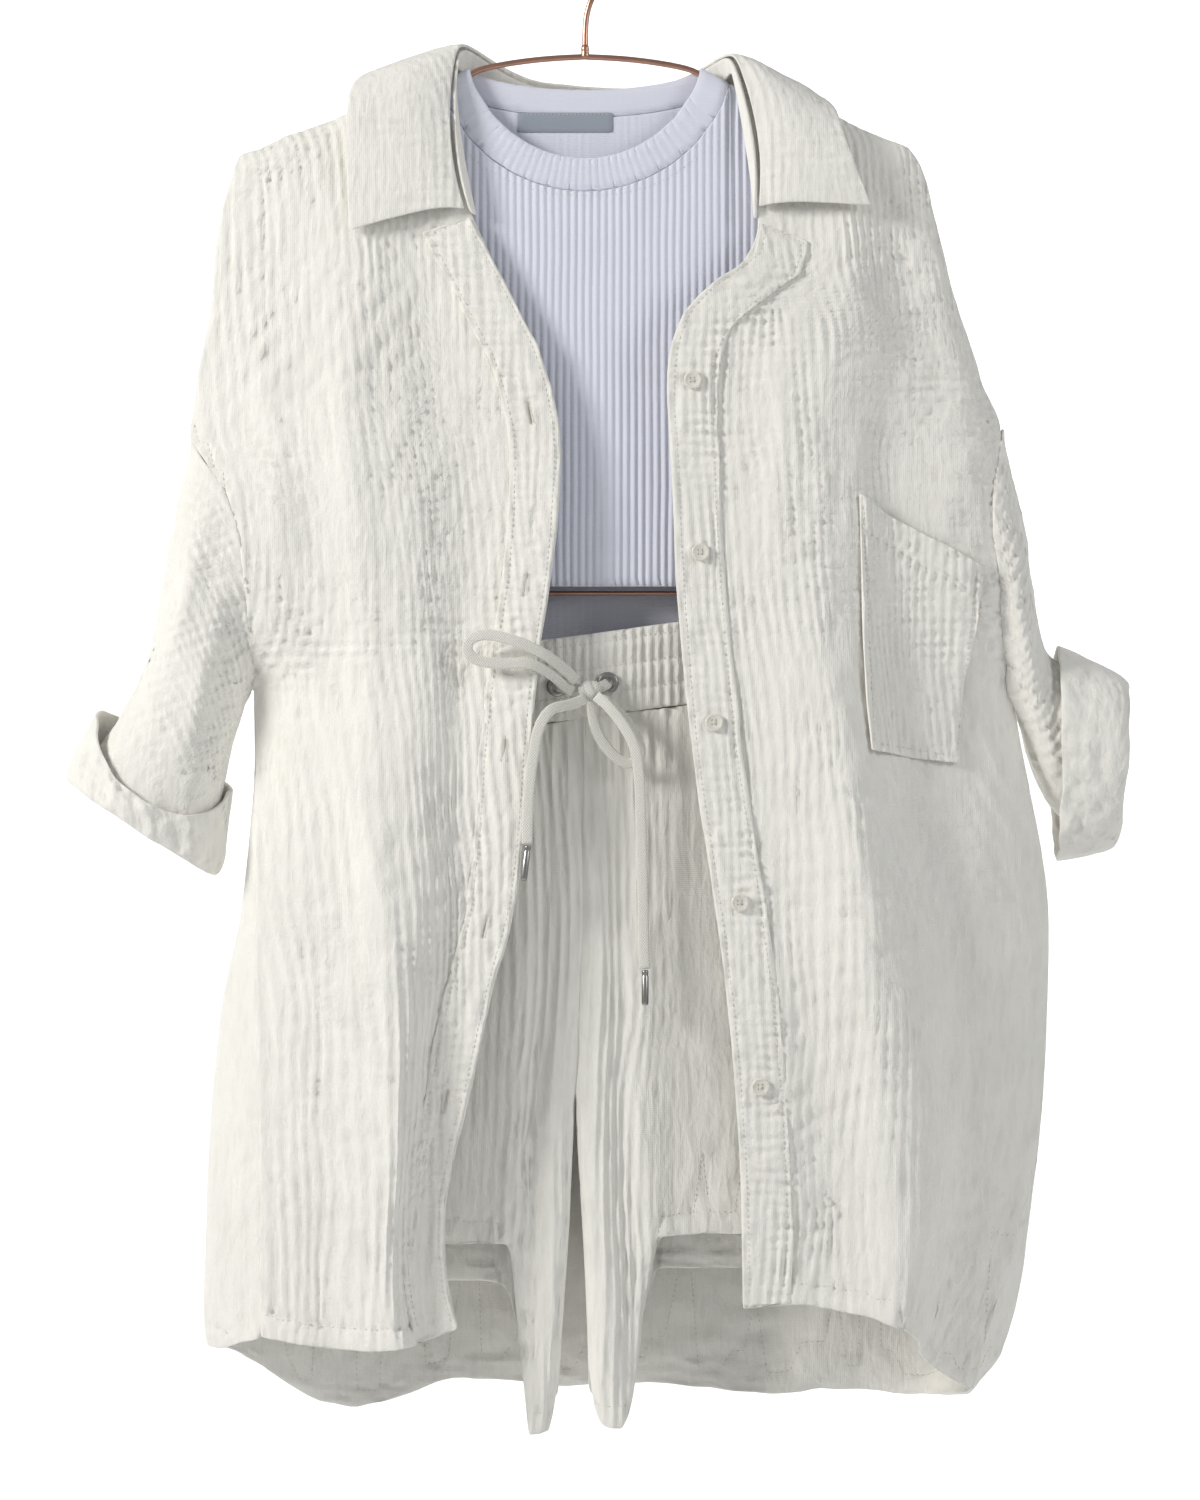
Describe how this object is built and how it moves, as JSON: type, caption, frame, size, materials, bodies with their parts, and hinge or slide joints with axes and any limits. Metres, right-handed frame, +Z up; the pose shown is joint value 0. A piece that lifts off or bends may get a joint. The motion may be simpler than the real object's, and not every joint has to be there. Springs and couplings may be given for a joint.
{
  "type": "lounge set on a wire hanger",
  "caption": "Open crinkled gauze shirt over a ribbed knit top, with gauze shorts clipped by the waistband to the bar of a thin wire hanger.",
  "frame": {"origin": "top of the inside of the hanger's hook, where it rests on a rail", "axes": "+Z up, front towards -Y, +X to the viewer's right as seen from the front"},
  "size_m": [0.6495, 0.1375, 0.9219],
  "materials": {
    "gauze": "ivory crinkled double gauze, matte",
    "knit": "cool white fine rib knit, matte",
    "label": "slate grey woven label, blank",
    "cord": "ivory flat woven tape",
    "wire": "rose-gold plated wire, satin",
    "steel": "dark nickel, satin",
    "button": "off-white, semi-gloss"
  },
  "bodies": {
    "root": {"shirt_front_left": "gauze", "shirt_front_right": "gauze", "shirt_back": "gauze", "sleeve_left": "gauze", "sleeve_right": "gauze", "placket_left": "gauze", "placket_right": "gauze", "button_1": "button", "button_2": "button", "button_3": "button", "button_4": "button", "button_5": "button", "pocket": "gauze", "collar_stand": "gauze", "collar_leaf": "gauze", "hanger_hook": "wire", "hanger_arm_left": "wire", "hanger_arm_right": "wire", "hanger_drop_left": "wire", "hanger_drop_right": "wire", "hanger_bar": "wire", "clip_left": "wire", "clip_right": "wire", "top_front": "knit", "top_back": "knit", "top_neckband": "knit", "top_label": "label", "waistband": "gauze", "shorts_front_left": "gauze", "shorts_back_left": "gauze", "shorts_front_right": "gauze", "shorts_back_right": "gauze", "eyelet_left": "steel", "eyelet_right": "steel", "drawstring_left_lead": "cord", "drawstring_right_lead": "cord", "drawstring_left_loop": "cord", "drawstring_right_loop": "cord", "drawstring_left_tail": "cord", "drawstring_right_tail": "cord", "drawstring_knot": "cord", "aglet_left": "steel", "aglet_right": "steel"}
  },
  "joints": []
}
